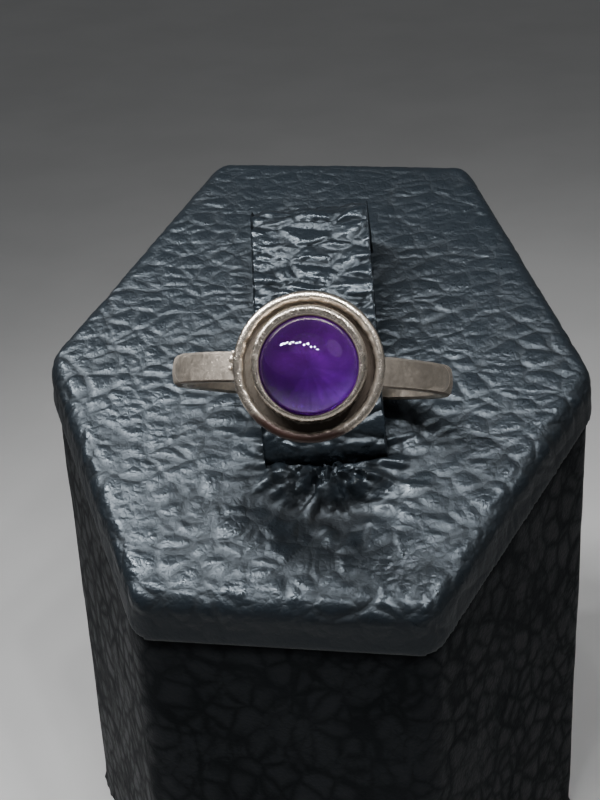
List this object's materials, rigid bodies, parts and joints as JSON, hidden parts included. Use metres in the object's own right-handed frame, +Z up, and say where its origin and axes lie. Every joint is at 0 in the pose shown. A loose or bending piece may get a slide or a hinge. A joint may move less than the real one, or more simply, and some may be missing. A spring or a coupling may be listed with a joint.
{
  "type": "cabochon ring on a ring stand",
  "caption": "Silver ring with a round cabochon in a bezel and cup, held on a hexagonal leatherette ring stand by a strap.",
  "frame": {"origin": "centre of the stand's flat base, on the surface that it stands on", "axes": "+Z up, -Y to the front, down the slope of the face that shows the ring, and +X to the right as seen from the front"},
  "size_m": [0.0396, 0.039, 0.0528],
  "materials": {
    "silver": "satin",
    "amethyst": "polished",
    "leatherette": "satin"
  },
  "bodies": {
    "root": {"band_and_setting": "silver", "cabochon": "amethyst", "stand_block": "leatherette", "stand_strap": "leatherette"}
  },
  "joints": []
}
